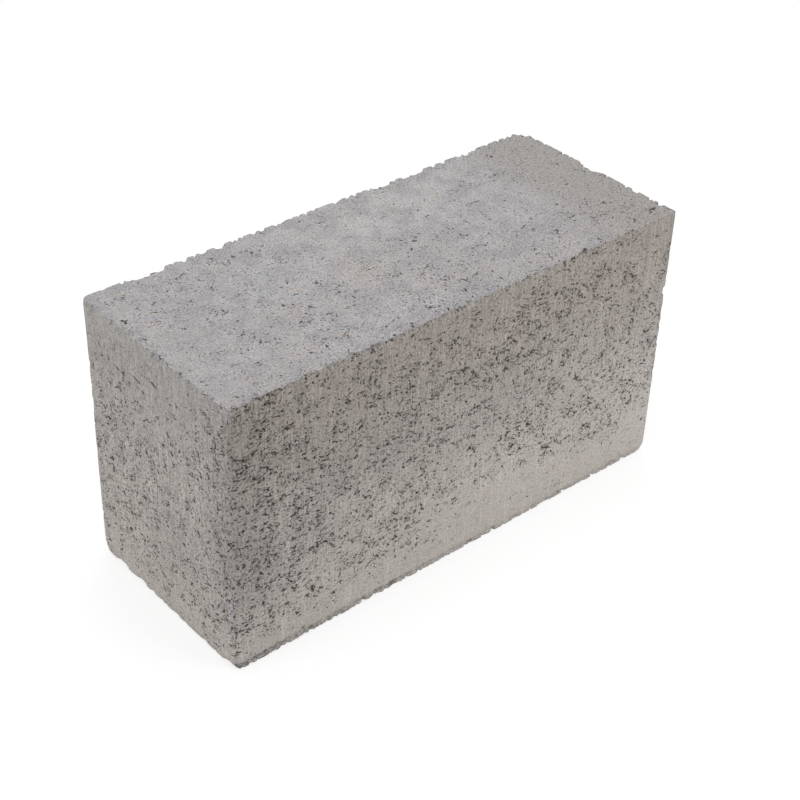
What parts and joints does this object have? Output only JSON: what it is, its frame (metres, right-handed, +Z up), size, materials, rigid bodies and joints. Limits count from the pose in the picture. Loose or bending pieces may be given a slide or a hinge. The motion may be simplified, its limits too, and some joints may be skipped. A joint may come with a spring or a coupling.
{
  "type": "concrete brick",
  "caption": "Solid pressed concrete brick with flat bed faces, rounded upright corners and an open-pored skin, laid in mortar as walling.",
  "frame": {"origin": "centre of the brick's footprint, on the plane of its lower bed face", "axes": "+X along the length, +Y across the width, +Z up from the lower bed face to the upper one"},
  "size_m": [0.295, 0.12, 0.16],
  "materials": {
    "concrete": "bare grey concrete as stripped from a steel mould, matt, with open pores and drag marks"
  },
  "bodies": {
    "root": {"brick": "concrete"}
  },
  "joints": []
}
